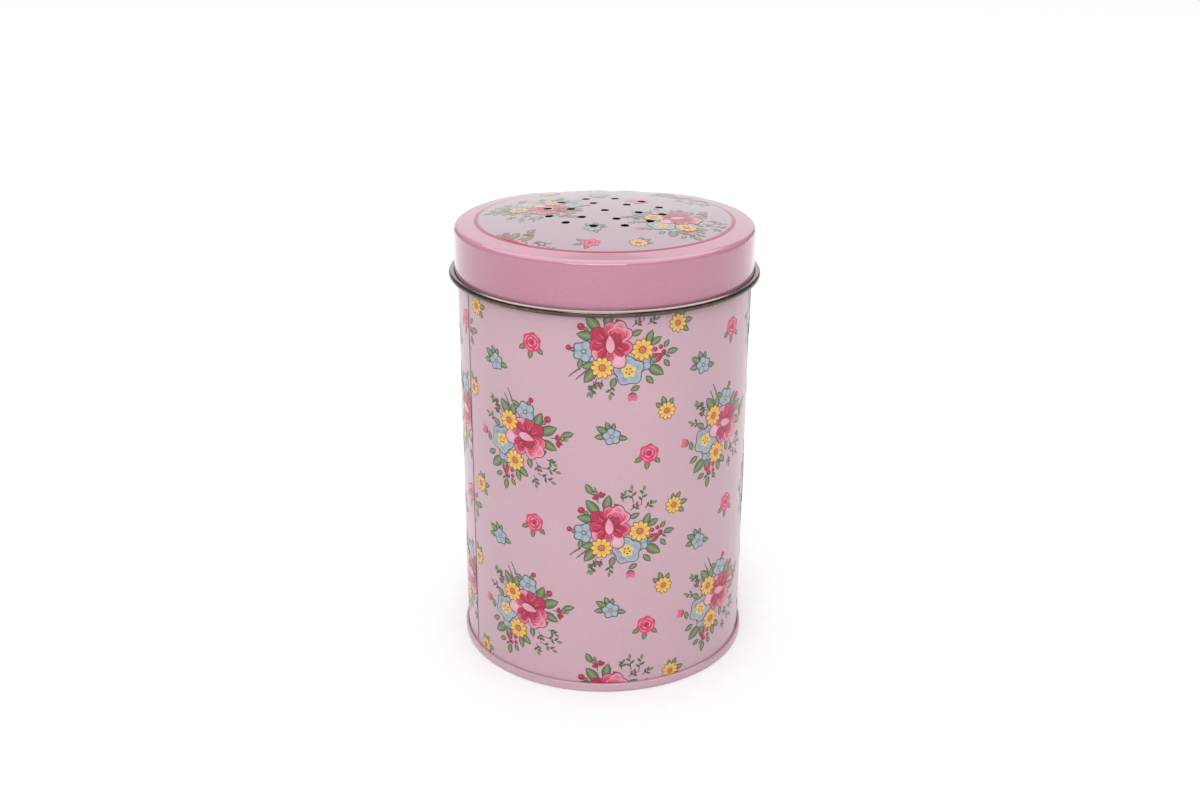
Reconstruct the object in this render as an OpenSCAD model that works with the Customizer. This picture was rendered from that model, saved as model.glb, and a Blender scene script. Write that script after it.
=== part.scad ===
// Talcum powder tin: rolled body, seamed-on base and slip-on shaker lid.
// Every wall is drawn as a sheet profile of squares and circles, turned about the Z axis.
// The origin is on the surface that the tin stands on, at the middle of its foot.

/* [Body] */
// Outside diameter of the body wall
body_d = 70; // [55:1:90]
// Height of the body's mouth above the surface that the tin stands on
body_h = 106.5; // [60:0.5:160]
// Thickness of the body's tinplate
body_sheet = 0.2; // [0.16:0.01:0.3]
// Outside diameter of the inward curl at the mouth
mouth_curl_d = 1.5; // [1:0.1:2.5]

/* [Side seam] */
// Direction of the side seam, counted from +X
seam_angle = 206.5; // [0:0.5:359.5]
// Width of the locked fold on the inside
seam_fold_w = 3.4; // [2:0.1:5]
// How far the locked fold stands in from the wall
seam_fold_t = 0.5; // [0.3:0.05:0.8]
// Width of the groove that the fold leaves on the outside
seam_groove_w = 0.4; // [0.2:0.05:0.8]
// Depth of the groove on the outside
seam_groove_t = 0.1; // [0.04:0.01:0.14]

/* [Base] */
// Thickness of the base's tinplate
base_sheet = 0.2; // [0.16:0.01:0.3]
// Height of the double seam round the foot
foot_seam_h = 2.1; // [1.9:0.1:3.2]
// Height of the base panel's underside above the surface
panel_h = 3.4; // [2.8:0.1:5]
// Radius of the bend between the base panel and its wall
panel_bend_r = 0.8; // [0.5:0.1:1.5]
// Radius of the foot's two bottom bends
foot_bend_r = 0.4; // [0.3:0.05:0.45]
// Depth of the lining compound in the foot's channel
compound_t = 0.2; // [0.15:0.05:0.35]
// Diameter of the stiffening bead pressed into the base panel
panel_bead_d = 54; // [40:1:60]
// Radius of the stiffening bead
panel_bead_r = 0.8; // [0.5:0.1:1.2]

/* [Lid] */
// Thickness of the lid's tinplate
lid_sheet = 0.25; // [0.18:0.01:0.35]
// Gap between the body wall and the lid's skirt, on the radius
lid_gap = 0.45; // [0.2:0.05:0.8]
// Gap between the mouth's curl and the underside of the closed lid
lid_rest_gap = 0.1; // [0.05:0.05:0.3]
// Radius of the bend between the lid's top and its skirt
lid_bend_r = 1.2; // [0.6:0.1:2.5]
// Rise of the domed top above its edge
lid_crown = 2.6; // [1:0.1:5]
// Height of the skirt's straight wall
lid_skirt_h = 10.3; // [6:0.1:25]
// Outside diameter of the curl at the lid's open edge
lid_curl_d = 1.7; // [1.2:0.1:2.5]

/* [Shaker holes] */
// Diameter of each shaker hole
hole_d = 2; // [1:0.1:3]
// Diameter of the inner ring of holes
inner_ring_d = 16.3; // [10:0.1:20]
// Number of holes in the inner ring
inner_ring_n = 6; // [4:1:8]
// Diameter of the outer ring of holes
outer_ring_d = 27.5; // [22:0.1:36]
// Number of holes in the outer ring
outer_ring_n = 12; // [8:1:16]
// Direction of the outer ring's first hole, counted from +X
hole_angle = 19.5; // [0:0.5:30]
// Angle by which the inner ring's first hole lies further round
inner_ring_turn = 30; // [0:0.5:60]

/* [Hidden] */
$fn = 180;
TIN = "#c9a9b6";
LID = "#cf92a8";
COMPOUND = "#b7a98c";

// Free space between neighbouring layers of the double seam
layer_gap = 0.02;
// Gap left between a curl's rolled edge and the wall that it comes back to
curl_end_gap = 0.12;
// Angle by which the lid's bend runs on into the dome and the skirt, so that they are one sheet
bend_lap = 3;

// Body wall
body_r = body_d / 2;
body_in_r = body_r - body_sheet;
mouth_curl_r = mouth_curl_d / 2;
mouth_curl_x = body_r - mouth_curl_r;
mouth_curl_z = body_h - mouth_curl_r;

// Double seam, layer by layer from the body wall outwards
cover_hook_in = body_r + layer_gap;
cover_hook_out = cover_hook_in + base_sheet;
body_hook_in = cover_hook_out + layer_gap;
body_hook_out = body_hook_in + body_sheet;
foot_wall_in = body_hook_out + layer_gap;
foot_r = foot_wall_in + base_sheet;
chuck_out = body_in_r - layer_gap;
chuck_in = chuck_out - base_sheet;

// The body's bend wraps the cover hook, and the cover's bend wraps the body hook
body_bend_x = (body_in_r + body_hook_out) / 2;
body_bend_r = (body_hook_out - body_in_r) / 2;
compound_top = foot_bend_r + compound_t;
body_bend_z = compound_top + layer_gap + body_bend_r;
cover_bend_x = (cover_hook_in + foot_r) / 2;
cover_bend_r = (foot_r - cover_hook_in) / 2;
cover_bend_z = foot_seam_h - cover_bend_r;

// Base panel
panel_top = panel_h + base_sheet;
panel_bend_x = chuck_out - panel_bend_r;
panel_bend_z = panel_top - panel_bend_r;
panel_bead_x = panel_bead_d / 2;

// Side seam fold, kept clear of the base panel and of the mouth's curl
fold_clear = 0.4;
fold_z0 = panel_top + fold_clear;
fold_z1 = body_h - mouth_curl_d - fold_clear;
fold_half_angle = seam_fold_w / body_in_r * 90 / PI;
fold_in_r = body_in_r - seam_fold_t;

// Lid: the dome's inside is tangent to a circle lid_rest_gap larger than the mouth's curl
lid_in_r = body_r + lid_gap;
lid_r = lid_in_r + lid_sheet;
lid_bend_x = lid_r - lid_bend_r;
dome_bend_r = (lid_bend_x * lid_bend_x + lid_crown * lid_crown) / (2 * lid_crown);
dome_r = dome_bend_r + lid_bend_r;
dome_rest_r = dome_r - lid_sheet - lid_rest_gap - mouth_curl_r;
dome_z = mouth_curl_z - sqrt(dome_rest_r * dome_rest_r - mouth_curl_x * mouth_curl_x);
dome_half_angle = asin(lid_bend_x / dome_bend_r);
lid_bend_z = dome_z + dome_bend_r * cos(dome_half_angle);
lid_curl_r = lid_curl_d / 2;
lid_curl_x = lid_in_r + lid_curl_r;
lid_curl_z = lid_bend_z - lid_skirt_h;
lid_top = dome_z + dome_r;

// Angle by which a curl stops short of a full turn, so that its edge clears the wall
function curl_short(r, sheet) = acos((r - sheet - curl_end_gap) / r);

// A straight wall of the profile, from one radius and height to another
module strip(x0, x1, z0, z1) {
    translate([x0, z0]) square([x1 - x0, z1 - z0]);
}

// A pie slice from angle a0 to a1, wide enough to cover a circle of radius r
module slice(r, a0, a1) {
    steps = ceil((a1 - a0) / 60);
    turn = (a1 - a0) / steps;
    reach = r / cos(turn / 2) * 1.1;
    rim = [for (k = [0:steps]) reach * [cos(a0 + k * turn), sin(a0 + k * turn)]];
    polygon(concat([[0, 0]], rim));
}

// A sheet bent round a centre, from angle a0 to a1, with outside radius r
module bend(x, z, r, sheet, a0, a1) {
    translate([x, z]) intersection() {
        difference() {
            circle(r);
            circle(r - sheet);
        }
        slice(r, a0, a1);
    }
}

// The body wall's profile: foot hook, wall and mouth curl
module body_profile() {
    curl_end = 360 - curl_short(mouth_curl_r, body_sheet);
    strip(body_hook_in, body_hook_out, body_bend_z, cover_bend_z - layer_gap);
    bend(body_bend_x, body_bend_z, body_bend_r, body_sheet, 180, 360);
    strip(body_in_r, body_r, body_bend_z, mouth_curl_z);
    bend(mouth_curl_x, mouth_curl_z, mouth_curl_r, body_sheet, 0, 180);
    bend(mouth_curl_x, mouth_curl_z, mouth_curl_r, body_sheet, 180, curl_end);
}

// The sector of the wall that the side seam takes, from radius r0 to r1
module seam_sector(r0, r1, half_angle, z0, z1) {
    rotate([0, 0, seam_angle]) translate([0, 0, z0]) linear_extrude(z1 - z0) intersection() {
        difference() {
            circle(r1);
            circle(r0);
        }
        slice(r1, -half_angle, half_angle);
    }
}

// Rolled tinplate wall, hooked to itself along the side seam
module body_wall() {
    color(TIN) difference() {
        union() {
            rotate_extrude() body_profile();
            seam_sector(fold_in_r, body_in_r + body_sheet / 2, fold_half_angle, fold_z0, fold_z1);
        }
        rotate([0, 0, seam_angle])
            translate([body_r - seam_groove_t, -seam_groove_w / 2, foot_seam_h + fold_clear])
            cube([body_sheet, seam_groove_w, mouth_curl_z - foot_seam_h - 2 * fold_clear]);
    }
}

// The base's profile: bead, panel, countersink wall, foot and cover hook
module base_profile() {
    strip(0, panel_bead_x - panel_bead_r + base_sheet / 2, panel_h, panel_top);
    bend(panel_bead_x, panel_h, panel_bead_r, base_sheet, 0, 180);
    strip(panel_bead_x + panel_bead_r - base_sheet / 2, panel_bend_x, panel_h, panel_top);
    bend(panel_bend_x, panel_bend_z, panel_bend_r, base_sheet, 0, 90);
    strip(chuck_in, chuck_out, foot_bend_r, panel_bend_z);
    bend(chuck_in + foot_bend_r, foot_bend_r, foot_bend_r, base_sheet, 180, 270);
    strip(chuck_in + foot_bend_r, foot_r - foot_bend_r, 0, base_sheet);
    bend(foot_r - foot_bend_r, foot_bend_r, foot_bend_r, base_sheet, 270, 360);
    strip(foot_wall_in, foot_r, foot_bend_r, cover_bend_z);
    bend(cover_bend_x, cover_bend_z, cover_bend_r, base_sheet, 0, 180);
    strip(cover_hook_in, cover_hook_out, body_bend_z + layer_gap, cover_bend_z);
}

// Countersunk tinplate end, rolled round the body's flange
module base_end() {
    color(TIN) rotate_extrude() base_profile();
}

// Ring of lining compound across the foot's channel, under the body's bend
module seam_compound() {
    color(COMPOUND) rotate_extrude()
        strip(chuck_out + layer_gap, foot_wall_in - layer_gap, foot_bend_r, compound_top);
}

// The lid's profile: dome, bend, skirt and outward curl
module lid_profile() {
    curl_end = 180 - curl_short(lid_curl_r, lid_sheet);
    bend(0, dome_z, dome_r, lid_sheet, 90 - dome_half_angle, 90);
    bend(lid_bend_x, lid_bend_z, lid_bend_r, lid_sheet, -bend_lap, 90 - dome_half_angle + bend_lap);
    strip(lid_in_r, lid_r, lid_curl_z, lid_bend_z);
    bend(lid_curl_x, lid_curl_z, lid_curl_r, lid_sheet, 180, 360);
    bend(lid_curl_x, lid_curl_z, lid_curl_r, lid_sheet, 0, curl_end);
}

// One round of shaker holes, straight down through the dome
module hole_ring(ring_d, count, first) {
    for (k = [0:count - 1])
        rotate([0, 0, first + k * 360 / count])
            translate([ring_d / 2, 0, lid_bend_z])
            cylinder(h = lid_top - lid_bend_z + lid_bend_r, d = hole_d);
}

// One drawn tinplate pressing, pierced with the shaker holes
module lid() {
    color(LID) difference() {
        rotate_extrude() lid_profile();
        hole_ring(0, 1, hole_angle);
        hole_ring(inner_ring_d, inner_ring_n, hole_angle + inner_ring_turn);
        hole_ring(outer_ring_d, outer_ring_n, hole_angle);
    }
}

body_wall();
base_end();
seam_compound();
lid();
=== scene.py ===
import math

import bmesh
import bpy
from mathutils import Matrix, Vector


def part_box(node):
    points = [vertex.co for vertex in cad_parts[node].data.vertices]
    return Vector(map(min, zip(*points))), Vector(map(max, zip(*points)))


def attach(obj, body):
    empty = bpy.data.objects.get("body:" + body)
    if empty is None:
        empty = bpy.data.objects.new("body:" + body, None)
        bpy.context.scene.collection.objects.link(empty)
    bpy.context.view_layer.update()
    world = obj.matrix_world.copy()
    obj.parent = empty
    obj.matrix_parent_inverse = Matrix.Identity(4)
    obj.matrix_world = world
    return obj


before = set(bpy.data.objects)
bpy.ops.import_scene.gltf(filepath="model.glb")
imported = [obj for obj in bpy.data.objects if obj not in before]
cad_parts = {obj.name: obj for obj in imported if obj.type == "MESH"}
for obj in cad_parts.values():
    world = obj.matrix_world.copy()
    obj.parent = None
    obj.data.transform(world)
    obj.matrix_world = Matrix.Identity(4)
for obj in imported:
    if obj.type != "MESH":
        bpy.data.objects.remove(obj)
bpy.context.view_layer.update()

# ---- Camera -------------------------------------------------------------------------------
# A 43 mm lens on a full-frame camera, a forearm's length in front of the tin and looking
# down on its lid, with the tin standing upright in the frame.
LENS = 43.06
CAMERA_PLACE = Vector((0, -0.331891, 0.189555))
PITCH, YAW, ROLL = math.radians(21.154), math.radians(-0.167), math.radians(-0.197)

ahead = Vector((
    math.sin(YAW) * math.cos(PITCH), math.cos(YAW) * math.cos(PITCH), -math.sin(PITCH),
))
level = Vector((math.cos(YAW), -math.sin(YAW), 0))
down = ahead.cross(level)
across = math.cos(ROLL) * level + math.sin(ROLL) * down
down = math.cos(ROLL) * down - math.sin(ROLL) * level
camera = bpy.data.objects.new("camera", bpy.data.cameras.new("camera"))
camera.data.lens = LENS
camera.data.sensor_width = 36
camera.data.clip_start = 0.01
facing = Matrix((across, -down, -ahead)).transposed().to_4x4()
camera.matrix_world = Matrix.Translation(CAMERA_PLACE) @ facing
bpy.context.scene.collection.objects.link(camera)
bpy.context.scene.camera = camera
bpy.context.scene.view_settings.view_transform = "Standard"


# ---- Floor and light ----------------------------------------------------------------------
# A table covered with white card, under a light tent: soft light from overhead and from all
# round, with a long soft box above and behind the camera and a white one behind the tin.
def linear(code):
    """An sRGB hex colour as linear RGBA."""
    parts = [int(code[i:i + 2], 16) / 255 for i in (1, 3, 5)]
    return [c / 12.92 if c <= 0.04045 else ((c + 0.055) / 1.055) ** 2.4 for c in parts] + [1]


def add(tree, kind, settings, inputs):
    """Adds a node, sets its own settings, and fills its inputs with values or links."""
    node = tree.nodes.new("ShaderNode" + kind)
    for key, value in settings.items():
        setattr(node, key, value)
    for key, value in inputs.items():
        if isinstance(value, bpy.types.NodeSocket):
            tree.links.new(value, node.inputs[key])
        else:
            node.inputs[key].default_value = value
    return node


def blank(name):
    """A new material, with its node tree and its one shader."""
    material = bpy.data.materials.new(name)
    material.use_nodes = True
    return material, material.node_tree, material.node_tree.nodes["Principled BSDF"]


def link(tree, output, shader, key):
    tree.links.new(output, shader.inputs[key])


# White card: matt, with a faint mottle of its fibres.
card, tree, shader = blank("white_card")
place = add(tree, "TexCoord", {}, {}).outputs["Object"]
fibres = add(tree, "TexNoise", {}, {"Vector": place, "Scale": 1 / 0.004, "Detail": 4})
fibres = fibres.outputs["Fac"]
shade = add(tree, "ValToRGB", {}, {"Fac": fibres})
shade.color_ramp.elements[0].color = linear("#f4f4f4")
shade.color_ramp.elements[1].color = linear("#fafafa")
link(tree, shade.outputs["Color"], shader, "Base Color")
grain = add(tree, "Bump", {}, {"Height": fibres, "Strength": 0.2, "Distance": 0.0001})
link(tree, grain.outputs["Normal"], shader, "Normal")
shader.inputs["Roughness"].default_value = 0.8

FLOOR_REACH, FLOOR_DROP = 6, 0.00002
floor_mesh = bpy.data.meshes.new("floor")
corners = [(-1, -1), (1, -1), (1, 1), (-1, 1)]
corners = [(x * FLOOR_REACH, y * FLOOR_REACH, -FLOOR_DROP) for x, y in corners]
floor_mesh.from_pydata(corners, [], [(0, 1, 2, 3)])
floor_mesh.materials.append(card)
floor = bpy.data.objects.new("floor", floor_mesh)
bpy.context.scene.collection.objects.link(floor)


TIN_MIDDLE = Vector((0, 0, 0.06))


def soft_box(name, place, width, height, power):
    """A rectangular soft box that faces the middle of the tin."""
    lamp = bpy.data.lights.new(name, "AREA")
    lamp.shape = "RECTANGLE"
    lamp.size, lamp.size_y, lamp.energy = width, height, power
    box = bpy.data.objects.new(name, lamp)
    box.location = place
    box.rotation_euler = (TIN_MIDDLE - box.location).to_track_quat("-Z", "Y").to_euler()
    bpy.context.scene.collection.objects.link(box)


soft_box("front_box", (-0.15, -1.25, 0.85), 1.1, 0.24, 7.9)
soft_box("back_box", (0, 1.4, 0.45), 1.4, 0.9, 2.4)
ceiling = bpy.data.lights.new("ceiling", "SUN")
ceiling.energy, ceiling.angle = 2.8, math.radians(100)
ceiling_light = bpy.data.objects.new("ceiling", ceiling)
ceiling_light.location = (0, 0, 1)
bpy.context.scene.collection.objects.link(ceiling_light)
# The tent is bright as a backdrop, and dim as a light, so that the boxes shape the gloss.
tent = bpy.data.worlds.new("tent")
tent.use_nodes = True
seen = add(tent.node_tree, "LightPath", {}, {}).outputs["Is Camera Ray"]
background = tent.node_tree.nodes["Background"]
background.inputs["Color"].default_value = linear("#ffffff")
glow = add(tent.node_tree, "MapRange", {}, {"Value": seen, "To Min": 0.18, "To Max": 1.1})
link(tent.node_tree, glow.outputs[0], background, "Strength")
bpy.context.scene.world = tent

# ---- Body wall ----------------------------------------------------------------------------
# One sheet of tinplate, coated with lilac-pink enamel, printed and varnished while flat, then
# rolled round and hooked to itself along the side seam. Its inside and its curl are bare.
BODY_R = 0.035
MOUTH_Z = 0.1065
FOOT_SEAM_Z = 0.0021
SEAM_TURN = math.radians(206.5)
GROUND, GROUND_DEEP = linear("#c3a2ac"), linear("#bf9ca8")


def varnished(tree, shader, colour, coat=0.1, dullness=0.21):
    """Finishes a shader as ink under stoving varnish: hard, glossy and very slightly rippled."""
    place = add(tree, "TexCoord", {}, {}).outputs["Object"]
    # The print's own grain is finer than 0.1 mm: it is drawn at 0.5 mm so that it shows.
    grain = add(tree, "TexNoise", {}, {"Vector": place, "Scale": 1 / 0.0005, "Detail": 2})
    speck = add(tree, "MapRange", {}, {
        "Value": grain.outputs["Fac"],
        "From Min": 0.3, "From Max": 0.7, "To Min": 0.97, "To Max": 1.03,
    })
    tone = add(tree, "VectorMath", {"operation": "SCALE"}, {0: colour, "Scale": speck.outputs[0]})
    link(tree, tone.outputs[0], shader, "Base Color")
    # Handling leaves the gloss a little uneven, in patches of about 9 mm.
    patch = add(tree, "TexNoise", {}, {"Vector": place, "Scale": 1 / 0.009, "Detail": 0})
    gloss = add(tree, "MapRange", {}, {
        "Value": patch.outputs["Fac"],
        "From Min": 0.1, "From Max": 0.9, "To Min": dullness, "To Max": dullness + 0.04,
    })
    link(tree, gloss.outputs[0], shader, "Roughness")
    # Orange peel of the stoved varnish, about 1.2 mm from crest to crest and under a micron high.
    peel = add(tree, "TexNoise", {}, {"Vector": place, "Scale": 1 / 0.0012, "Detail": 1})
    peel = peel.outputs["Fac"]
    ripple = add(tree, "Bump", {}, {"Height": peel, "Strength": 0.25, "Distance": 0.00001})
    link(tree, ripple.outputs["Normal"], shader, "Normal")
    shader.inputs["Coat Weight"].default_value = coat
    shader.inputs["Coat Roughness"].default_value = 0.04
    shader.inputs["IOR"].default_value = 1.5


# Litho-coated tinplate: an even pink enamel, a shade deeper in broad soft patches.
enamel, tree, shader = blank("lilac_enamel_on_tinplate")
place = add(tree, "TexCoord", {}, {}).outputs["Object"]
cloud = add(tree, "TexNoise", {}, {"Vector": place, "Scale": 1 / 0.03, "Detail": 0})
cloud = cloud.outputs["Fac"]
tone = add(tree, "Mix", {"data_type": "RGBA"}, {0: cloud, 6: GROUND, 7: GROUND_DEEP})
varnished(tree, shader, tone.outputs[2])

# Bare tinplate: cold-rolled steel with a melted coat of tin, bright grey with fine rolling
# lines about 0.15 mm apart, drawn at 0.4 mm so that they show.
bare, tree, shader = blank("bare_tinplate")
place = add(tree, "TexCoord", {}, {}).outputs["Object"]
drawn = add(tree, "Mapping", {}, {"Vector": place, "Scale": (60, 60, 2500)}).outputs["Vector"]
lines = add(tree, "TexNoise", {}, {"Vector": drawn, "Scale": 1, "Detail": 3}).outputs["Fac"]
stain = add(tree, "TexNoise", {}, {"Vector": place, "Scale": 1 / 0.005, "Detail": 4})
tin = add(tree, "ValToRGB", {}, {"Fac": stain.outputs["Fac"]})
tin.color_ramp.elements[0].position, tin.color_ramp.elements[1].position = 0.3, 0.75
tin.color_ramp.elements[0].color = linear("#8f8780")
tin.color_ramp.elements[1].color = linear("#b8b2ab")
link(tree, tin.outputs["Color"], shader, "Base Color")
dull = add(tree, "MapRange", {}, {
    "Value": lines, "From Min": 0.3, "From Max": 0.7, "To Min": 0.22, "To Max": 0.38,
})
link(tree, dull.outputs[0], shader, "Roughness")
score = add(tree, "Bump", {}, {"Height": lines, "Strength": 0.3, "Distance": 0.00001})
link(tree, score.outputs["Normal"], shader, "Normal")
shader.inputs["Metallic"].default_value = 1

# Seam groove: painted shade in the bottom of the fold, dark and nearly matt, with a fine mottle.
groove, tree, shader = blank("dusty_seam_groove")
place = add(tree, "TexCoord", {}, {}).outputs["Object"]
groove_mottle = add(tree, "TexNoise", {}, {"Vector": place, "Scale": 1 / 0.002, "Detail": 4})
groove_mottle = groove_mottle.outputs["Fac"]
groove_shade = add(tree, "ValToRGB", {}, {"Fac": groove_mottle})
groove_shade.color_ramp.elements[0].color = linear("#5a3c49")
groove_shade.color_ramp.elements[1].color = linear("#86606f")
link(tree, groove_shade.outputs["Color"], shader, "Base Color")
groove_bump = add(tree, "Bump", {}, {"Height": groove_mottle, "Strength": 0.3, "Distance": 0.00003})
link(tree, groove_bump.outputs["Normal"], shader, "Normal")
shader.inputs["Roughness"].default_value = 0.7


def paint(node, materials, choose):
    """Gives each face of a CAD node one of the materials, by where it lies and faces."""
    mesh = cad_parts[node].data
    mesh.materials.clear()
    for material in materials:
        mesh.materials.append(material)
    for face in mesh.polygons:
        radius = math.hypot(face.center.x, face.center.y)
        outwards = face.normal.xy.dot(face.center.xy) / max(radius, 1e-9)
        face.material_index = choose(face.center, radius, outwards, face.normal.z)


# The groove's walls and floor lie a little inside the sheet's outer side, below the curl. The
# print runs up to where the sheet starts to turn in for the curl.
GROOVE_NEAR, GROOVE_FAR, GROOVE_TOP = BODY_R - 0.00002, BODY_R - 0.00016, MOUTH_Z - 0.002
OUTER_SIDE, CURL_START = BODY_R - 0.00005, MOUTH_Z - 0.0008


def body_face(centre, radius, outwards, up):
    # Faces in the groove take the groove's painted shade.
    if GROOVE_FAR < radius < GROOVE_NEAR and FOOT_SEAM_Z < centre.z < GROOVE_TOP:
        return 2
    return 0 if outwards > 0.5 and radius > OUTER_SIDE and centre.z < CURL_START else 1


paint("body_wall", [enamel, bare, groove], body_face)

# The fold stands a little proud beside its groove, as a narrow rounded ridge up the tin.
RIDGE_W, RIDGE_H, RIDGE_STEPS = 0.0004, 0.00006, 6
RIDGE_ASIDE, RIDGE_LIFT = 0.00024, 0.00001
RIDGE_FOOT, RIDGE_TOP = FOOT_SEAM_Z + 0.0004, MOUTH_Z - 0.0018
ridge_mesh = bpy.data.meshes.new("seam_ridge")
points = []
for z in (RIDGE_FOOT, RIDGE_TOP):
    for k in range(RIDGE_STEPS + 1):
        turn = SEAM_TURN + (RIDGE_ASIDE + RIDGE_W * k / RIDGE_STEPS) / BODY_R
        r = BODY_R + RIDGE_LIFT + RIDGE_H * math.sin(math.pi * k / RIDGE_STEPS)
        points.append((r * math.cos(turn), r * math.sin(turn), z))
row = RIDGE_STEPS + 1
strips = [(k, k + 1, row + k + 1, row + k) for k in range(RIDGE_STEPS)]
ridge_mesh.from_pydata(points, [], strips)
ridge_mesh.shade_smooth()
ridge_mesh.materials.append(enamel)
ridge = bpy.data.objects.new("seam_ridge", ridge_mesh)
bpy.context.scene.collection.objects.link(ridge)
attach(ridge, "tin")

# ---- Base end and its compound ------------------------------------------------------------
# A pressed disc of the same enamelled tinplate, its rim rolled round the body's flange. It
# stands on that rim, so the enamel is rubbed through there in small spots.
PANEL_INNER_R = 0.0345
RUB_FULL, RUB_NONE = 0.00002, 0.00012
# The sheet's enamel, rubbed through to grey tin in spots of about 1 mm on its lowest 0.1 mm.
foot, tree, shader = blank("rubbed_enamel_on_tinplate")
place = add(tree, "TexCoord", {}, {}).outputs["Object"]
cloud = add(tree, "TexNoise", {}, {"Vector": place, "Scale": 1 / 0.03, "Detail": 0})
cloud = cloud.outputs["Fac"]
tone = add(tree, "Mix", {"data_type": "RGBA"}, {0: cloud, 6: GROUND, 7: GROUND_DEEP}).outputs[2]
height = add(tree, "SeparateXYZ", {}, {0: place}).outputs["Z"]
low = add(tree, "MapRange", {}, {"Value": height, "From Min": RUB_NONE, "From Max": RUB_FULL})
spots = add(tree, "TexNoise", {}, {"Vector": place, "Scale": 1 / 0.0011, "Detail": 5})
spots = spots.outputs["Fac"]
bite = add(tree, "MapRange", {}, {"Value": spots, "From Min": 0.5, "From Max": 0.56})
worn = add(tree, "Math", {"operation": "MULTIPLY"}, {0: low.outputs[0], 1: bite.outputs[0]})
worn = worn.outputs[0]
tone = add(tree, "Mix", {"data_type": "RGBA"}, {0: worn, 6: tone, 7: linear("#9c948d")})
varnished(tree, shader, tone.outputs[2])
link(tree, worn, shader, "Metallic")


def base_face(centre, radius, outwards, up):
    return 1 if up > 0.2 and radius < PANEL_INNER_R else 0


paint("base_end", [foot, bare], base_face)

# Lining compound: a ring of dried rubber latex in the seam, dull cream-grey with pinholes.
latex, tree, shader = blank("dried_lining_compound")
place = add(tree, "TexCoord", {}, {}).outputs["Object"]
pores = add(tree, "TexVoronoi", {}, {"Vector": place, "Scale": 1 / 0.0004})
pores = pores.outputs["Distance"]
cream = add(tree, "ValToRGB", {}, {"Fac": pores})
cream.color_ramp.elements[0].color = linear("#9c9078")
cream.color_ramp.elements[1].color = linear("#c2b697")
link(tree, cream.outputs["Color"], shader, "Base Color")
pits = add(tree, "Bump", {}, {"Height": pores, "Strength": 0.4, "Distance": 0.00005})
link(tree, pits.outputs["Normal"], shader, "Normal")
shader.inputs["Roughness"].default_value = 0.85
paint("seam_compound", [latex], lambda centre, radius, outwards, up: 0)

# ---- Lid ----------------------------------------------------------------------------------
# One drawn tinplate pressing: a domed top with 19 punched holes, a border and skirt in deep
# pink, and a bare outward curl. A thin rose line divides the border from the flowered field.
# It slips over the mouth and lies on the mouth's curl.
LID_R, LID_BEND_R, LID_CROWN = 0.0357, 0.0012, 0.0026
LID_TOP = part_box("lid")[1].z
BEND_X = LID_R - LID_BEND_R
DOME_R = (BEND_X ** 2 + LID_CROWN ** 2) / (2 * LID_CROWN) + LID_BEND_R
RING_R, RING_W = 0.0304, 0.001
CURL_D = 0.0017
CURL_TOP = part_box("lid")[0].z + CURL_D
HOLE_R = 0.001
HOLES = [(0, 0)]
for ring_r, count, first in ((0.00815, 6, 49.5), (0.01375, 12, 19.5)):
    for k in range(count):
        turn = math.radians(first) + k * math.tau / count
        HOLES.append((ring_r * math.cos(turn), ring_r * math.sin(turn)))

# Pink lid enamel: the field, the line and the border are three flat inks, parted by radius,
# under a thicker and glossier coat of varnish than the body's.
lid_ink, tree, shader = blank("pink_enamel_on_lid")
place = add(tree, "TexCoord", {}, {}).outputs["Object"]
flat = add(tree, "VectorMath", {"operation": "MULTIPLY"}, {0: place, 1: (1, 1, 0)}).outputs[0]
radius = add(tree, "VectorMath", {"operation": "LENGTH"}, {0: flat}).outputs["Value"]
INK_BLUR = 0.00003
past_inner, past_outer = [
    add(tree, "MapRange", {}, {
        "Value": radius, "From Min": edge - INK_BLUR, "From Max": edge + INK_BLUR,
    }).outputs[0]
    for edge in (RING_R - RING_W / 2, RING_R + RING_W / 2)
]
FIELD, LINE = linear("#b197a3"), linear("#a20a42")
tone = add(tree, "Mix", {"data_type": "RGBA"}, {0: past_inner, 6: FIELD, 7: LINE}).outputs[2]
# Painted light: over the top of the bend the border is painted a shade paler than the skirt, as
# if lit more from above.
height = add(tree, "SeparateXYZ", {}, {"Vector": place}).outputs["Z"]
DOME_EDGE_Z = LID_TOP - LID_CROWN
painted_light_mask = add(tree, "MapRange", {}, {
    "Value": height, "From Min": DOME_EDGE_Z - LID_BEND_R, "From Max": DOME_EDGE_Z,
}).outputs[0]
SKIRT, BORDER_PAINTED_LIGHT = linear("#b4768c"), linear("#c68fa2")
border = add(tree, "Mix", {"data_type": "RGBA"}, {0: painted_light_mask, 6: SKIRT, 7: BORDER_PAINTED_LIGHT}).outputs[2]
tone = add(tree, "Mix", {"data_type": "RGBA"}, {0: past_outer, 6: tone, 7: border}).outputs[2]
LID_COAT, LID_DULLNESS = 0.8, 0.12
varnished(tree, shader, tone, LID_COAT, LID_DULLNESS)

# Rolled edge: the same tinplate, with a painted dark reflection: a dark brownish grey, mottled in
# patches about 1.5 mm across.
rolled, tree, shader = blank("rolled_edge_tinplate")
place = add(tree, "TexCoord", {}, {}).outputs["Object"]
roll_mottle = add(tree, "TexNoise", {}, {"Vector": place, "Scale": 1 / 0.0015, "Detail": 3})
roll_mottle = roll_mottle.outputs["Fac"]
tin = add(tree, "ValToRGB", {}, {"Fac": roll_mottle})
tin.color_ramp.elements[0].position, tin.color_ramp.elements[1].position = 0.3, 0.75
tin.color_ramp.elements[0].color = linear("#4e423d")
tin.color_ramp.elements[1].color = linear("#6c5c55")
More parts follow.
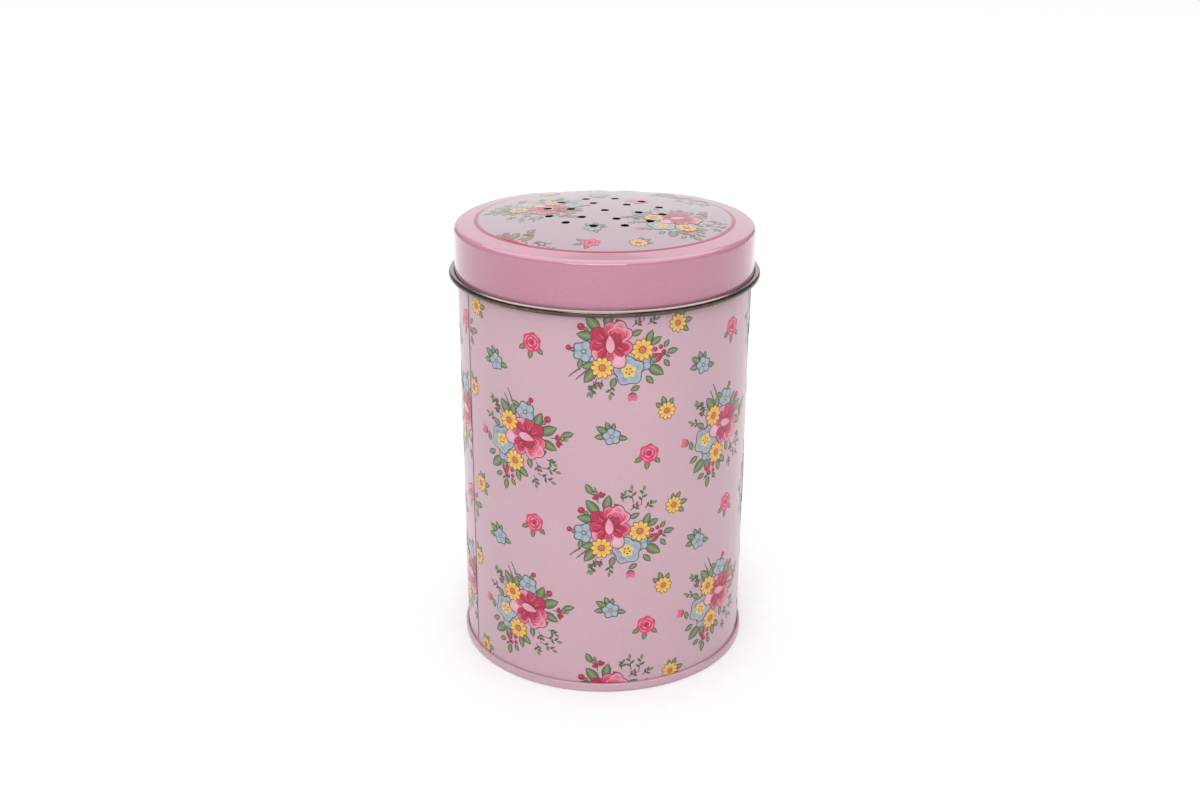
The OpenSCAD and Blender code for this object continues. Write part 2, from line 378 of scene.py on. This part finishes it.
# Painted highlight: the top of the roll is painted bright.
height = add(tree, "SeparateXYZ", {}, {"Vector": place}).outputs["Z"]
painted_highlight_band = add(tree, "MapRange", {}, {
    "Value": height, "From Min": CURL_TOP - 0.0005, "From Max": CURL_TOP - 0.0001,
})
tin = add(tree, "Mix", {"data_type": "RGBA"}, {
    0: painted_highlight_band.outputs[0], 6: tin.outputs["Color"], 7: linear("#b9aeaa"),
})
link(tree, tin.outputs[2], shader, "Base Color")
dull = add(tree, "MapRange", {}, {
    "Value": roll_mottle, "From Min": 0.3, "From Max": 0.7, "To Min": 0.16, "To Max": 0.24,
})
link(tree, dull.outputs[0], shader, "Roughness")
score = add(tree, "Bump", {}, {"Height": roll_mottle, "Strength": 0.2, "Distance": 0.00001})
link(tree, score.outputs["Normal"], shader, "Normal")
shader.inputs["Metallic"].default_value = 1


# The outside is printed, from the dome to where the skirt flares into the curl; the inside
# of the pressing, which faces down or inwards, is bare.
DOME_FROM, BEND_FROM, SKIRT_FROM = DOME_EDGE_Z - 0.0006, CURL_TOP + 0.008, CURL_TOP - 0.0009
SKIRT_SLACK = 0.0001


def lid_face(centre, radius, outwards, up):
    on_dome = up > 0.5 and centre.z > DOME_FROM
    on_bend = radius > BEND_X and centre.z > BEND_FROM and (outwards > 0.05 or up > 0.3)
    on_skirt = outwards > 0.5 and abs(radius - LID_R) < SKIRT_SLACK and centre.z > SKIRT_FROM
    if radius > LID_R - SKIRT_SLACK and centre.z < CURL_TOP and not on_skirt:
        return 2
    return 0 if on_dome or on_bend or on_skirt else 1


paint("lid", [lid_ink, bare, rolled], lid_face)

# ---- Printed flowers ----------------------------------------------------------------------
# Offset-printed ink on the enamel: bouquets of a garden rose, daisies, a pansy, berries and
# leaves, with small single flowers between them. Sizes from here on are in millimetres.
CRIMSON, RED, ROSE = linear("#930530"), linear("#b51344"), linear("#c9375e")
PINK, BLUSH, PALE = linear("#d36e89"), linear("#dc96a9"), linear("#d9adbc")
BURGUNDY, TWIG = linear("#5c2a40"), linear("#6a5650")
LEAF_EDGE, LEAF, LEAF_LIGHT = linear("#2f3a28"), linear("#566a40"), linear("#808e60")
YELLOW, LEMON, AMBER = linear("#d9a446"), linear("#e4bc5e"), linear("#bd8136")
BLUE, SKY, TEAL = linear("#7e959f"), linear("#9dafb7"), linear("#688588")
RUST, LILAC = linear("#a5432c"), linear("#a3a2b8")
UMBER, SLATE = linear("#48301f"), linear("#36404e")


def mixed(a, b, t):
    return [p + (q - p) * t for p, q in zip(a, b)]


def lay(motif, points, faces, inks, group=None):
    """Adds a patch of ink to a motif, above all that it may touch outside its own group."""
    xs, ys = zip(*points)
    box = (min(xs), min(ys), max(xs), max(ys))
    under = [
        p["level"] for p in motif
        if (group is None or p["group"] != group)
        and box[0] < p["box"][2] and p["box"][0] < box[2]
        and box[1] < p["box"][3] and p["box"][1] < box[3]
    ]
    level = 1 + max(under, default=-1)
    motif.append({
        "points": points, "faces": faces, "inks": inks,
        "box": box, "level": level, "group": group,
    })


def quads(rows, columns):
    """Faces of a grid of points, listed row by row."""
    step = columns + 1
    return [
        (i * step + j, (i + 1) * step + j, (i + 1) * step + j + 1, i * step + j + 1)
        for i in range(rows) for j in range(columns)
    ]


def petal(motif, x, y, turn, length, width, root, tip, spine=None, belly=0.5, blunt=0.8,
          group=None):
    """A pointed patch from (x, y) in one direction, widest at belly, with a spine if wanted."""
    rows, columns = max(4, math.ceil(length / 0.8)), max(2, 2 * math.ceil(width / 1.8))
    c, s = math.cos(math.radians(turn)), math.sin(math.radians(turn))
    points, inks = [], []
    for i in range(rows + 1):
        t = i / rows
        lift = (0.02 + 0.96 * t) ** (math.log(0.5) / math.log(belly))
        half = width / 2 * math.sin(math.pi * lift) ** blunt
        for j in range(columns + 1):
            side = 2 * j / columns - 1
            u, v = t * length, -side * half
            points.append((x + c * u - s * v, y + s * u + c * v))
            ink = mixed(root, tip, t)
            inks.append(mixed(spine, ink, abs(side) ** 0.5) if spine else ink)
    lay(motif, points, quads(rows, columns), inks, group)


def dab(motif, x, y, radius, heart, rim, lobes=0, depth=0.0, turn=0.0, squash=1.0, group=None):
    """A round patch that shades from its heart to its rim, with a lobed edge if wanted."""
    rings = max(1, math.ceil(radius / 0.8))
    steps = 10 if radius < 0.6 else 16 if radius < 1.6 and lobes < 5 else max(28, lobes * 6)
    c, s = math.cos(math.radians(turn)), math.sin(math.radians(turn))
    points, inks = [(x, y)], [heart]
    for i in range(1, rings + 1):
        for k in range(steps):
            a = math.tau * k / steps
            r = radius * i / rings * (1 + depth * i / rings * math.cos(lobes * a))
            u, v = r * math.cos(a), r * math.sin(a) * squash
            points.append((x + c * u - s * v, y + s * u + c * v))
            inks.append(mixed(heart, rim, i / rings))
    faces = [(0, 1 + k, 1 + (k + 1) % steps) for k in range(steps)]
    for i in range(rings - 1):
        for k in range(steps):
            a, b = 1 + i * steps + k, 1 + i * steps + (k + 1) % steps
            faces.append((a, a + steps, b + steps, b))
    lay(motif, points, faces, inks, group)


def curl(motif, x, y, radius, start, end, width, inner, outer):
    """A crescent, as the rolled edge of a petal looks."""
    rows = max(5, math.ceil(math.radians(abs(end - start)) * radius / 0.7))
    points, inks = [], []
    for i in range(rows + 1):
        t = i / rows
        a = math.radians(start + (end - start) * t)
        half = width / 2 * math.sin(math.pi * (0.04 + 0.92 * t)) ** 0.8
        for j in range(3):
            r = radius + (j - 1) * half
            points.append((x + r * math.cos(a), y + r * math.sin(a)))
            inks.append(mixed(inner, outer, j / 2))
    lay(motif, points, quads(rows, 2), inks)


def stem(motif, path, width, ink):
    """A thin line along a bowed path of three points."""
    (ax, ay), (bx, by), (cx, cy) = path
    rows = max(3, math.ceil(math.hypot(cx - ax, cy - ay) / 0.7))
    points = []
    for i in range(rows + 1):
        t = i / rows
        x = (1 - t) ** 2 * ax + 2 * t * (1 - t) * bx + t * t * cx
        y = (1 - t) ** 2 * ay + 2 * t * (1 - t) * by + t * t * cy
        dx, dy = (1 - t) * (bx - ax) + t * (cx - bx), (1 - t) * (by - ay) + t * (cy - by)
        size = math.hypot(dx, dy)
        half = width / 2 * (1 - 0.5 * t)
        aside_x, aside_y = -dy / size * half, dx / size * half
        points += [(x + aside_x, y + aside_y), (x - aside_x, y - aside_y)]
    lay(motif, points, quads(rows, 1), [ink] * len(points))


def leaf(motif, x, y, turn, length):
    """A leaf with its dark outline and a pale midrib."""
    width = 0.52 * length
    c, s = math.cos(math.radians(turn)), math.sin(math.radians(turn))
    petal(motif, x - 0.1 * c, y - 0.1 * s, turn, length + 0.32, width + 0.34,
          LEAF_EDGE, LEAF_EDGE, belly=0.46)
    petal(motif, x + 0.05 * c, y + 0.05 * s, turn, length, width,
          mixed(LEAF, LEAF_EDGE, 0.35), LEAF, LEAF_LIGHT, belly=0.46)


def berry(motif, x, y, radius):
    """A red berry with a pink glint."""
    dab(motif, x, y, radius, RED, CRIMSON)
    dab(motif, x - 0.25 * radius, y + 0.25 * radius, 0.28 * radius, PINK, ROSE)


def bud(motif, x, y, turn, size, root=CRIMSON, tip=RED):
    """A bud of two petals that part in a heart, with its green cup, opening towards turn."""
    c, s = math.cos(math.radians(turn)), math.sin(math.radians(turn))
    for lean in (-34, 34):
        petal(motif, x - 0.75 * size * c, y - 0.75 * size * s, turn + lean,
              1.1 * size, 0.55 * size, LEAF_EDGE, LEAF, belly=0.6)
    for lean in (24, -24):
        petal(motif, x - 0.5 * size * c, y - 0.5 * size * s, turn + lean,
              1.35 * size, 0.85 * size, root, tip, belly=0.64, blunt=0.6)


def daisy(motif, x, y, size, turn):
    """A yellow daisy: ten petals on an amber ground, parted by fine lines, round a red eye."""
    dab(motif, x, y, size + 0.16, UMBER, UMBER, lobes=10, depth=0.1, turn=turn)
    dab(motif, x, y, size, AMBER, YELLOW, lobes=10, depth=0.11, turn=turn)
    for k in range(10):
        a = math.radians(turn + 36 * k)
        c, s = size * math.cos(a), size * math.sin(a)
        petal(motif, x + 0.36 * c, y + 0.36 * s, turn + 36 * k,
              0.64 * size, 0.4 * size, YELLOW, LEMON, belly=0.6, blunt=0.5, group="daisy")
    for k in range(10):
        a = math.radians(turn + 18 + 36 * k)
        c, s = size * math.cos(a), size * math.sin(a)
        reach = (0.92, 0.8, 0.62 + 0.12 * (k % 2))
        stem(motif, [(x + r * c, y + r * s) for r in reach], 0.14, UMBER)
    dab(motif, x, y, 0.36 * size, RUST, RUST, lobes=7, depth=0.08, turn=turn)
    dab(motif, x, y, 0.24 * size, PINK, AMBER)
    dab(motif, x + 0.03 * size, y - 0.03 * size, 0.1 * size, RUST, RUST)


def pansy(motif, x, y, size, turn):
    """A pale blue flower of five round petals with a yellow, dotted heart."""
    spread = [(turn + 72 * k, 0.55 * size, 0.5 * size) for k in range(5)]
    for a, reach, r in spread:
        c, s = math.cos(math.radians(a)), math.sin(math.radians(a))
        dab(motif, x + reach * c, y + reach * s, r + 0.2, BURGUNDY, BURGUNDY,
            lobes=4, depth=0.04, turn=a, group="edge")
    for k, (a, reach, r) in enumerate(spread[::2] + spread[1::2]):
        u, v = x + reach * math.cos(math.radians(a)), y + reach * math.sin(math.radians(a))
        heart, rim = (TEAL, LILAC) if k % 2 else (BLUE, SKY)
        dab(motif, u, v, r, heart, rim, lobes=4, depth=0.05, turn=a)
        curl(motif, u, v, 0.62 * r, a - 70, a + 70, 0.2 * r, BLUE, LILAC)
    dab(motif, x, y, 0.46 * size, YELLOW, LEMON, lobes=5, depth=0.22, turn=turn)
    for k in range(5):
        a = math.radians(turn + 36 + 72 * k)
        u, v = x + 0.22 * size * math.cos(a), y + 0.22 * size * math.sin(a)
        dab(motif, u, v, 0.065 * size, UMBER, UMBER, group="dots")


def bluet(motif, x, y, size, turn):
    """A small blue flower with a dark eye."""
    dab(motif, x, y, size + 0.22, SLATE, SLATE, lobes=5, depth=0.12, turn=turn)
    dab(motif, x, y, size, TEAL, BLUE, lobes=5, depth=0.13, turn=turn)
    for k in range(5):
        a = math.radians(turn + 72 * k)
        u, v = x + 0.2 * size * math.cos(a), y + 0.2 * size * math.sin(a)
        petal(motif, u, v, turn + 72 * k, 0.85 * size, 0.72 * size,
              BLUE, SKY, LILAC, belly=0.6, blunt=0.45, group="bluet")
    dab(motif, x, y, 0.3 * size, SLATE, TEAL)
    dab(motif, x, y, 0.12 * size, LEMON, LEMON)


def rose(motif):
    """The garden rose at the middle of a bouquet: crimson petals that pale to their rims."""
    rims = [
        (-2.5, 1.6, 1.75, CRIMSON, RED), (0.2, 3.0, 1.55, ROSE, PINK),
        (-2.8, -0.9, 1.6, CRIMSON, ROSE), (2.1, 3.1, 1.55, ROSE, BLUSH),
        (-2.1, -2.8, 1.8, ROSE, BLUSH), (3.3, 1.7, 1.45, ROSE, BLUSH),
        (1.7, -4.2, 1.85, PALE, BLUSH), (3.2, -1.4, 1.65, RED, PINK),
        (-0.2, -3.3, 1.3, RED, PINK),
    ]
    for x, y, r, heart, rim in rims:
        dab(motif, x, y, r + 0.2, BURGUNDY, BURGUNDY,
            lobes=3, depth=0.06, turn=40 * x, group="edge")
    for x, y, r, heart, rim in rims:
        dab(motif, x, y, r, heart, rim, lobes=3, depth=0.07, turn=40 * x)
    for x, y, turn, length, width, root, tip in (
        (-0.2, 0.2, 148, 3.9, 2.0, CRIMSON, RED), (-0.2, -0.4, 196, 3.8, 2.1, CRIMSON, RED),
        (0.0, -0.8, 232, 3.9, 2.1, CRIMSON, RED), (0.6, 0.2, 112, 3.6, 1.7, RED, ROSE),
        (0.6, -0.8, -12, 3.7, 2.0, CRIMSON, RED), (0.4, -0.8, -44, 3.6, 1.9, CRIMSON, RED),
        (1.2, 0.4, 34, 3.0, 1.9, RED, ROSE),
    ):
        petal(motif, x, y, turn, length, width, root, tip, belly=0.6, blunt=0.4)
    dab(motif, 0.5, 0.2, 2.0, CRIMSON, CRIMSON, lobes=4, depth=0.05)
    for k, turn in enumerate(range(98, 345, 13)):
        c, s = math.cos(math.radians(turn)), math.sin(math.radians(turn))
        near, far = 1.9, 3.2 + 0.5 * (k % 3)
        bow = (2.7 * c - 0.15 * s, 2.7 * s + 0.15 * c - 0.4)
        stem(motif, [(near * c, near * s - 0.4), bow, (far * c, far * s - 0.4)],
             0.2, (PINK, ROSE, CRIMSON)[k % 3])
    curl(motif, 1.35, 1.0, 2.1, 12, 150, 0.75, ROSE, BLUSH)
    curl(motif, 1.35, 1.0, 1.45, -20, 165, 0.5, RED, PINK)
    dab(motif, 1.4, 0.95, 1.05, CRIMSON, RED)
    dab(motif, 1.45, 0.9, 0.6, TWIG, CRIMSON, lobes=3, depth=0.1)
    petal(motif, -0.1, 1.7, -86, 4.4, 2.3, CRIMSON, CRIMSON, belly=0.58, blunt=0.5)
    petal(motif, -0.1, 1.5, -86, 4.0, 1.9, PINK, PALE, BLUSH, belly=0.6, blunt=0.5)


def small_rose(motif, x, y, size):
    """A small open rose seen from above, on three leaves."""
    for turn, reach in ((208, 1.9), (262, 2.0), (318, 1.8)):
        a = math.radians(turn)
        leaf(motif, x + 0.8 * size * math.cos(a), y + 0.8 * size * math.sin(a), turn, reach)
    dab(motif, x, y, size + 0.1, CRIMSON, RED, lobes=6, depth=0.08, turn=20)
    dab(motif, x, y, size, RED, ROSE, lobes=6, depth=0.09, turn=20)
    for start in (15, 110, 200, 290):
        curl(motif, x, y, 0.74 * size, start, start + 80, 0.2 * size, ROSE, BLUSH)
    for start in (60, 190, 310):
        curl(motif, x, y + 0.05 * size, 0.42 * size, start, start + 105, 0.16 * size, PINK, BLUSH)
    dab(motif, x + 0.05 * size, y, 0.2 * size, CRIMSON, RED)


def sprig(motif, x, y, turn, length, berried=False):
    """A fine stalk with a few small leaves, and a pink dot at its tip if wanted."""
    c, s = math.cos(math.radians(turn)), math.sin(math.radians(turn))
    bow = (x + 0.5 * length * c - 0.2 * s, y + 0.5 * length * s + 0.2 * c)
    tip = (x + length * c, y + length * s)
    stem(motif, [(x, y), bow, tip], 0.22, LEAF_EDGE)
    for k, side in ((0.35, 1), (0.55, -1), (0.8, 1)):
        u, v = x + k * length * c, y + k * length * s
        petal(motif, u, v, turn + side * 48, 1.35, 0.6, LEAF_EDGE, LEAF, belly=0.55)
    if berried:
        berry(motif, *tip, 0.36)
    else:
        petal(motif, *tip, turn, 1.5, 0.72, LEAF_EDGE, LEAF, LEAF_LIGHT, belly=0.5)


# The bouquet, from its twigs and sprigs up to the rose and the daisy that lie over the rest.
bouquet = []
for x, y, turn in ((-9.2, -8.4, 38), (-7.6, -9.0, 42)):
    a = math.radians(turn)
    root = (x + 3.4 * math.cos(a), y + 3.4 * math.sin(a))
    stem(bouquet, [root, (x + 1.6, y + 1.6), (x, y)], 0.5, TWIG)
for x, y, turn, length, berried in (
    (5.6, 5.2, 96, 3.2, False), (7.4, 4.4, 80, 3.6, False), (4.9, 3.4, 30, 2.0, True),
    (8.3, 3.6, 28, 1.9, False), (-3.6, -9.2, 262, 2.6, False), (0.2, -9.6, 268, 2.6, False),
    (-2.9, -8.6, 244, 3.4, False), (-1.6, -8.8, 236, 1.6, True), (3.2, 5.6, 78, 1.6, False),
    (-2.4, 5.4, 104, 2.6, False), (11.5, -4.2, 18, 2.2, False),
):
    sprig(bouquet, x, y, turn, length, berried)
for x, y, turn, length in (
    (-2.4, 2.4, 128, 4.4), (-0.8, 3.4, 78, 3.8), (-3.4, 1.1, 172, 3.8), (4.8, 1.4, 24, 2.3),
    (8.3, -0.6, 68, 2.9), (9.2, -0.9, 30, 2.6), (8.9, -5.0, 24, 3.4), (8.6, -5.9, -34, 4.2),
    (8.2, -8.4, -48, 2.3), (-3.0, -5.2, 192, 3.2), (-3.0, -6.1, 232, 4.2), (-4.0, 7.6, 118, 2.6),
    (-2.6, 8.0, 190, 1.6), (6.6, -10.6, 206, 2.0), (13.2, -3.2, 6, 2.4), (12.4, -5.0, -52, 1.9),
    (12.3, -1.9, 52, 1.7), (1.2, -8.4, 250, 2.4), (-6.4, -4.2, 258, 2.0), (-7.2, -2.0, 30, 1.7),
):
    leaf(bouquet, x, y, turn, length)
for x, y, turn, size in ((-3.0, 6.8, 150, 1.0), (-1.7, 7.4, 64, 1.05), (1.6, 4.7, 80, 0.7)):
    bud(bouquet, x, y, turn, size)
leaf(bouquet, -5.9, 3.1, -24, 1.2)
leaf(bouquet, -8.9, -1.8, -14, 1.5)
berry(bouquet, -6.4, 3.4, 0.85)
berry(bouquet, -9.2, -1.6, 0.66)
bud(bouquet, 5.1, -13.0, -88, 1.5, ROSE, PINK)
bluet(bouquet, -5.8, -2.3, 2.2, 70)
bluet(bouquet, 2.4, -6.4, 1.9, 120)
bluet(bouquet, 7.2, -5.2, 1.9, 40)
pansy(bouquet, 4.2, -6.9, 3.2, 96)
for x, y in ((10.2, -2.3), (11.5, -1.8), (10.1, -3.7), (11.3, -3.9), (12.2, -3.0), (10.9, -4.7)):
    berry(bouquet, x, y, 0.56)
daisy(bouquet, 7.2, -2.1, 2.35, 12)
rose(bouquet)
daisy(bouquet, -1.7, -6.0, 2.3, 0)

# The single flowers that are strewn between the bouquets.
pink_single, blue_single, yellow_single, yellow_drop = [], [], [], []
small_rose(pink_single, 0, 0, 2.2)
for turn, length in ((112, 2.1), (148, 2.6), (186, 2.4), (-14, 2.2), (80, 1.6)):
    a = math.radians(turn)
    leaf(blue_single, 1.3 * math.cos(a), 1.3 * math.sin(a), turn, length)
bluet(blue_single, 0, -0.2, 1.8, 100)
for turn, length in ((8, 2.2), (-38, 2.0), (62, 1.9), (96, 1.5)):
    a = math.radians(turn)
    leaf(yellow_single, 1.4 * math.cos(a), 1.4 * math.sin(a), turn, length)
daisy(yellow_single, 0, 0, 1.95, 20)
for turn, length in ((108, 2.2), (142, 1.9), (64, 1.7)):
    a = math.radians(turn)
    leaf(yellow_drop, 1.4 * math.cos(a), 1.4 * math.sin(a), turn, length)
daisy(yellow_drop, 0, 0, 1.95, 5)
MOTIFS = [bouquet, pink_single, blue_single, yellow_single, yellow_drop]

# One half-drop repeat of the design: motif, place from the first rose, turn in degrees.
REPEAT_W, REPEAT_H = 51.4, 44.2
REPEAT = [
    (bouquet, 0, 0, 0), (bouquet, -19.2, 19.6, -105),
    (pink_single, -18, -1.5, 0), (pink_single, 9.1, 17.1, 0),
    (blue_single, 23, -7.9, 0), (blue_single, 0.5, 22, 0),
    (yellow_single, 15.6, 3.2, 0), (yellow_drop, 13.3, -17.2, 0),
]
BOUQUET_REACH, SINGLE_REACH = 16, 5

# Each patch has its own place on one square sheet of the ink map, with a margin all round.
# They are set out in rows, the tallest first, and the rows are 8 % longer than the patches'
# area alone would need, to make up for what the rows waste.
MARGIN, ROW_WASTE = 0.15, 1.08
for motif in MOTIFS:
    for p in motif:
        left, bottom, right, top = p["box"]
        p["cell"] = (right - left + 2 * MARGIN, top - bottom + 2 * MARGIN)
patches = sorted((p for motif in MOTIFS for p in motif), key=lambda p: -p["cell"][1])
row_length = ROW_WASTE * math.sqrt(sum(p["cell"][0] * p["cell"][1] for p in patches))
x = y = row = 0
for p in patches:
    width, height = p["cell"]
    if x + width > row_length:
        x, y, row = 0, y + row, 0
    p["at"] = (x + MARGIN - p["box"][0], y + MARGIN - p["box"][1])
    x, row = x + width, max(row, height)
sheet_side = max(row_length, y + row)

# Printing ink: the flowers' colours, under the same varnish as the enamel.
body_print, tree, shader = blank("printing_ink_on_tinplate")
colour = add(tree, "Attribute", {"attribute_name": "ink"}, {}).outputs["Color"]
varnished(tree, shader, colour)
# The lid's ink is the same, under the lid's thicker coat.
lid_print, tree, shader = blank("printing_ink_on_lid")
colour = add(tree, "Attribute", {"attribute_name": "ink"}, {}).outputs["Color"]
varnished(tree, shader, colour, LID_COAT, LID_DULLNESS)
# A first patch of ink lies INK_FIRST over the sheet, and each that covers another INK_STEP more.
INK_FIRST, INK_STEP = 0.012, 0.003


def print_flowers(name, places, trim, wrap, ink, body):
    """Lays motifs out flat, trims them to the printed sheet, and wraps them on the metal."""
    bm = bmesh.new()
    colours = bm.verts.layers.float_color.new("ink")
    uvs = bm.loops.layers.uv.new("OFBake")
    for motif, x, y, turn in places:
        c, s = math.cos(math.radians(turn)), math.sin(math.radians(turn))
        for p in motif:
            height = INK_FIRST + INK_STEP * p["level"]
            verts = [
                bm.verts.new((x + c * u - s * v, y + s * u + c * v, height))
                for u, v in p["points"]
            ]
            for vert, tone in zip(verts, p["inks"]):
                vert[colours] = tone
            for corners in p["faces"]:
                face = bm.faces.new([verts[i] for i in corners])
                face.smooth = True
                for loop, i in zip(face.loops, corners):
                    u, v = p["points"][i]
                    loop[uvs].uv = ((u + p["at"][0]) / sheet_side, (v + p["at"][1]) / sheet_side)
    trim(bm)
    for face in bm.faces:
        face.normal_update()
        if face.normal.z < 0:
            face.normal_flip()
    normals = []
    for vert in bm.verts:
        vert.co, normal = wrap(vert.co)
        normals.append(normal)
    mesh = bpy.data.meshes.new(name)
    bm.to_mesh(mesh)
    bm.free()
    mesh.normals_split_custom_set_from_vertices(normals)
    mesh.materials.append(ink)
    piece = bpy.data.objects.new(name, mesh)
    bpy.context.scene.collection.objects.link(piece)
    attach(piece, body)


def print_groups(sheet, places, trim, wrap, ink, body):
    """Prints a sheet's bouquets and its small flowers, as one piece each."""
    for group, chosen in (("bouquets", MOTIFS[:1]), ("small_flowers", MOTIFS[1:])):
        kept = [place for place in places if any(place[0] is motif for motif in chosen)]
        print_flowers(f"{sheet}_{group}", kept, trim, wrap, ink, body)


def cut_off(bm, place, away):
    """Trims all beyond a straight line through place, on the side that away points to."""
    bmesh.ops.bisect_plane(
        bm, geom=bm.verts[:] + bm.edges[:] + bm.faces[:], plane_co=place, plane_no=away,
        clear_outer=True, dist=1e-6,
    )


# ---- Print on the body --------------------------------------------------------------------
# The sheet's two printed edges meet at the side seam, so the flowers are cut through there,
# and again where the sheet goes into the foot's seam and over the mouth's curl.
# Places on the sheet are measured round from the front and up from the foot.
SHEET_R = BODY_R * 1000
GIRTH = math.tau * SHEET_R
SEAM_X = (math.degrees(SEAM_TURN) - 270) / 360 * GIRTH
FIRST_ROSE = (1.3, 44.3)
BACK_REPEAT_W = 48.2
# The print stops short of the groove and the ridge, of the foot's seam and of the mouth's curl.
PRINT_EDGE = 0.28
PRINT_LEFT, PRINT_RIGHT = SEAM_X + PRINT_EDGE + RIDGE_W * 1000, SEAM_X + GIRTH - PRINT_EDGE
PRINT_FOOT, PRINT_TOP = FOOT_SEAM_Z * 1000 + 0.05, MOUTH_Z * 1000 - 1.7

body_places = []
for i in range(-2, 6):
    # The repeats are set a little closer round the back, so that they meet at the seam.
    start = REPEAT_W * i if i < 1 else REPEAT_W + BACK_REPEAT_W * (i - 1)
    for j in range(-2, 3):
        for motif, dx, dy, turn in REPEAT:
            x, y = start + FIRST_ROSE[0] + dx, REPEAT_H * j + FIRST_ROSE[1] + dy
            reach = BOUQUET_REACH if motif is bouquet else SINGLE_REACH
            in_girth = SEAM_X - reach < x < SEAM_X + GIRTH + reach
            if in_girth and -reach < y < MOUTH_Z * 1000 + reach:
                body_places.append((motif, x, y, turn))


def trim_body(bm):
    cut_off(bm, (PRINT_LEFT, 0, 0), (-1, 0, 0))
    cut_off(bm, (PRINT_RIGHT, 0, 0), (1, 0, 0))
    cut_off(bm, (0, PRINT_FOOT, 0), (0, -1, 0))
    cut_off(bm, (0, PRINT_TOP, 0), (0, 1, 0))


def wrap_body(flat):
    """The place and the outward direction, round the wall, of a point on the flat sheet."""
    a = flat.x / SHEET_R - math.pi / 2
    normal = Vector((math.cos(a), math.sin(a), 0))
    return normal * (SHEET_R + flat.z) / 1000 + Vector((0, 0, flat.y / 1000)), normal


print_groups("body", body_places, trim_body, wrap_body, body_print, "tin")

# ---- Print on the lid ---------------------------------------------------------------------
# The same design runs across the domed top at a slant, stops at the rose line, and is
# punched through with the metal by the shaker holes.
LID_TURN = -65
LID_FIRST_ROSE = (17.5, -5)
# The flowers run 0.05 mm on to the rose line, and stop 0.03 mm short of a hole's edge.
FIELD_R, FIELD_SIDES = (RING_R - RING_W / 2) * 1000 + 0.05, 72
HOLE_GAP, HOLE_SIDES = 0.03, 16

c, s = math.cos(math.radians(LID_TURN)), math.sin(math.radians(LID_TURN))
lid_places = []
for i in range(-2, 3):
    for j in range(-2, 3):
        for motif, dx, dy, turn in REPEAT:
            u, v = REPEAT_W * i + dx, REPEAT_H * j + dy
            x, y = LID_FIRST_ROSE[0] + c * u - s * v, LID_FIRST_ROSE[1] + s * u + c * v
            reach = BOUQUET_REACH if motif is bouquet else SINGLE_REACH
            if math.hypot(x, y) < FIELD_R + reach:
                lid_places.append((motif, x, y, turn + LID_TURN))


def faces_within(bm, middle, radius):
    return [f for f in bm.faces if (f.calc_center_median() - middle).to_2d().length < radius]


def trim_lid(bm):
    for k in range(FIELD_SIDES):
        a = math.tau * k / FIELD_SIDES
        away = Vector((math.cos(a), math.sin(a), 0))
        cut_off(bm, away * FIELD_R, away)
    # Around a hole the patches are cut along its sides, and what lies within is taken out.
    hole_r = HOLE_R * 1000 + HOLE_GAP
    for x, y in HOLES:
        hole = Vector((x, y, 0)) * 1000
        near = faces_within(bm, hole, HOLE_R * 1000 + 1)
        geometry = list({part for face in near for part in (face, *face.edges, *face.verts)})
        for k in range(HOLE_SIDES):
            a = math.tau * k / HOLE_SIDES
            away = Vector((math.cos(a), math.sin(a), 0))
            geometry = bmesh.ops.bisect_plane(
                bm, geom=geometry, plane_co=hole + away * hole_r, plane_no=away, dist=1e-6,
            )["geom"]
        bmesh.ops.delete(bm, geom=faces_within(bm, hole, hole_r - 0.01), context="FACES")


def wrap_lid(flat):
    """The place and the outward direction, on the dome, of a point on the flat sheet."""
    r = DOME_R * 1000 + flat.z
    out = Vector((flat.x, flat.y, math.sqrt(r * r - flat.x ** 2 - flat.y ** 2)))
    return out / 1000 + Vector((0, 0, LID_TOP - DOME_R)), out.normalized()


print_groups("lid", lid_places, trim_lid, wrap_lid, lid_print, "lid")
